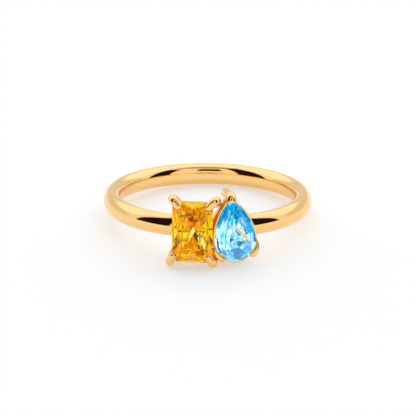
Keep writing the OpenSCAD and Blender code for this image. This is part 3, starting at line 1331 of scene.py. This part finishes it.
@dataclass
class Studio:
    """A white floor, soft light from above and all round, dark flags, and the camera."""

    lie: Lie
    floor_size: float = 6000.0
    bounces: int = 32
    floor_colour: Colour = (0.79, 0.775, 0.735)
    floor_light: Colour = (0.985, 0.99, 0.99)
    floor_glow: float = 0.38
    floor_rough: float = 0.9
    floor_gloss: float = 0.1
    walls: Colour = (1.0, 0.965, 0.93)
    panels: tuple[Panel, ...] = (
        Panel((98, 262), (14, 84), (1.14, 1.26, 1.5), 10, True),
        Panel((98, 262), (-10, 22), (0.8, 0.79, 0.8), 10, True),
        Panel((-105, 100), (66, 95), (0.42, 0.4, 0.38), 8),
        Panel((-83, -41), (-3, 68), (0.014, 0.008, 0.004), 3),
        Panel((52, 84), (-3, 58), (0.014, 0.008, 0.004), 3),
        Panel((-21, 17), (33, 58), (0.03, 0.02, 0.01), 7),
    )
    camera_up: float = 16.49
    camera_far: float = 352.45
    camera_roll: float = 0.5
    aim: tuple[float, float] = (0.0604, -0.8459)
    lens: float = 304.1
    sensor: float = 36.0
    clip: tuple[float, float] = (0.01, 20.0)

    def floor(self) -> None:
        """Lays the floor, which glows a little to stand for the light table's own light."""
        bm = bmesh.new()
        bmesh.ops.create_grid(bm, x_segments=1, y_segments=1, size=self.floor_size / 2 * MM)
        mesh = bpy.data.meshes.new("floor")
        bm.to_mesh(mesh)
        bm.free()
        shader = Shader("white_floor")
        shader.fix({"Base Color": self.floor_colour, "Roughness": self.floor_rough,
                    "Specular IOR Level": self.floor_gloss,
                    "Emission Color": self.floor_light, "Emission Strength": self.floor_glow})
        mesh.materials.append(shader.look)
        floor = bpy.data.objects.new("floor", mesh)
        bpy.context.scene.collection.objects.link(floor)

    def sky(self) -> None:
        """Hangs the panels."""
        world = bpy.data.worlds.new("studio")
        bpy.context.scene.world = world
        world.use_nodes = True
        nodes, links = world.node_tree.nodes, world.node_tree.links

        def maths(operation: str, *values: object) -> bpy.types.NodeSocket:
            """Adds a math node.

            Args:
                operation: what it does.
                values: numbers or sockets for its inputs.

            Returns:
                Its result.
            """
            node = nodes.new("ShaderNodeMath")
            node.operation = operation
            for socket, value in zip(node.inputs, values):
                if isinstance(value, bpy.types.NodeSocket):
                    links.new(value, socket)
                else:
                    socket.default_value = value
            return node.outputs[0]

        def within(angle: bpy.types.NodeSocket, low: float, high: float,
                   soft: float) -> bpy.types.NodeSocket:
            """Makes a mask that is 1 between two angles and falls off softly outside.

            Args:
                angle: the angle to test, in radians.
                low: the lower angle, in degrees.
                high: the higher angle, in degrees.
                soft: width of each soft edge, in degrees.

            Returns:
                The mask.
            """
            middle, half = math.radians((low + high) / 2), math.radians((high - low) / 2)
            away = maths("ABSOLUTE", maths("SUBTRACT", angle, middle))
            edge = nodes.new("ShaderNodeMapRange")
            edge.interpolation_type = "SMOOTHSTEP"
            edge.inputs["From Min"].default_value = half + math.radians(soft / 2)
            edge.inputs["From Max"].default_value = half - math.radians(soft / 2)
            links.new(away, edge.inputs["Value"])
            return edge.outputs["Result"]

        where = nodes.new("ShaderNodeTexCoord")
        parts = nodes.new("ShaderNodeSeparateXYZ")
        links.new(where.outputs["Generated"], parts.inputs[0])
        x, y, z = parts.outputs
        front = maths("ARCTAN2", x, maths("MULTIPLY", y, -1.0))
        behind = maths("ADD", maths("ARCTAN2", maths("MULTIPLY", x, -1.0), y), math.pi)
        height = maths("ARCSINE", z)
        colour = None
        for panel in self.panels:
            side = behind if panel.around_back else front
            mask = maths("MULTIPLY", within(side, *panel.azimuth, panel.soft),
                         within(height, *panel.elevation, panel.soft))
            tone = nodes.new("ShaderNodeMix")
            tone.data_type = "RGBA"
            if colour is None:
                tone.inputs["A"].default_value = (*self.walls, 1)
            else:
                links.new(colour, tone.inputs["A"])
            tone.inputs["B"].default_value = (*panel.colour, 1)
            links.new(mask, tone.inputs["Factor"])
            colour = tone.outputs["Result"]
        links.new(colour, nodes["Background"].inputs["Color"])

    def camera(self) -> None:
        """Sets the camera at the photo's angle to the ring."""
        up = math.radians(self.camera_up)
        roll = math.radians(self.camera_roll)
        back = Vector((0, -math.cos(up), math.sin(up)))
        right = Vector((1, 0, 0))
        top = back.cross(right)
        spot = back * self.camera_far + right * self.aim[0] + top * self.aim[1]
        across = right * math.cos(roll) + top * math.sin(roll)
        above = top * math.cos(roll) - right * math.sin(roll)
        turn = Matrix((across, above, back)).transposed().to_4x4()
        place = self.lie.ring() @ Matrix.Translation(spot) @ turn
        place.translation *= MM
        data = bpy.data.cameras.new("camera")
        data.lens, data.sensor_width = self.lens, self.sensor
        data.clip_start, data.clip_end = self.clip
        camera = bpy.data.objects.new("camera", data)
        camera.matrix_world = place
        bpy.context.scene.collection.objects.link(camera)
        bpy.context.scene.camera = camera

    def build(self) -> None:
        """Sets up the studio, with colours shown as they are."""
        scene = bpy.context.scene
        scene.view_settings.view_transform = "Standard"
        scene.cycles.max_bounces = scene.cycles.glossy_bounces = self.bounces
        scene.cycles.transmission_bounces = self.bounces
        self.floor()
        self.sky()
        self.camera()


def set_round(stone: RadiantStone | PearStone, lift: Matrix, head: Matrix,
              metal: dict[str, list[BMesh]], gold: Sequence[bpy.types.Material]) -> None:
    """Makes the metal pieces of a setting, with room in them for its stone.

    Args:
        stone: the stone.
        lift: the step up to its girdle's height.
        head: the setting's frame on the ring.
        metal: each piece's closed shapes, by its name.
        gold: the metal's material.
    """
    room = stone.shape(grow=STONE_ROOM)
    bmesh.ops.transform(room, matrix=lift, verts=room.verts[:])
    for name, parts in metal.items():
        piece(name, cleared(parts, room), head, gold, Slot.GOLD, Shading.POLISHED, METAL_NODE)
    room.free()


def main() -> None:
    """Builds the studio, then the ring piece by piece."""
    logging.basicConfig(level=logging.INFO, format="%(name)s: %(message)s")
    lie = Lie.from_record(frame["record"])
    band = Band()
    levels = Levels(band)
    lift = Matrix.Translation((0, 0, levels.girdle))
    radiant, pear = RadiantStone(), PearStone()
    seats = [stone.seat() for stone in (radiant, pear)]
    heads = [lie.ring() @ seat for seat in seats]
    gold = (PolishedGold().material(),)
    # Each gem's back glows with painted light at the last strength given
    citrine = CutGem("yellow_gem", ior=1.9, skin=(0.92, 0.95, 0.5), zone=(0.9, 0.9, 0.44),
                     veil=(0.2, 0.1, 0.03), painted_glow=0.05).looks()
    aqua = CutGem("blue_gem", ior=1.7, skin=(0.95, 0.99, 1.0), zone=(0.9, 0.97, 1.0),
                  veil=(0.2, 0.25, 0.3), painted_glow=0.36).looks()
    Studio(lie).build()

    piece("band", band.shape(radiant.turn, pear.turn, seats), lie.ring(), gold, Slot.GOLD,
          Shading.POLISHED, METAL_NODE)
    setting = RadiantSetting(levels, radiant)
    set_round(radiant, lift, heads[0], {"radiant_claws": setting.claws(),
                                        "radiant_frames": setting.frames()}, gold)
    piece("radiant_gem", radiant.gem(), heads[0] @ lift, citrine, Slot.RADIANT,
          Shading.FACETED, "radiant_stone")
    holder = PearSetting(levels, pear)
    set_round(pear, lift, heads[1], {"point_claw": holder.point_claw(),
                                     "leaf_claws": holder.leaf_claws(),
                                     "pear_frames": holder.frames()}, gold)
    piece("pear_gem", pear.gem(), heads[1] @ lift, aqua, Slot.PEAR, Shading.FACETED,
          "pear_stone")
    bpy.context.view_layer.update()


if __name__ == "__main__":
    main()
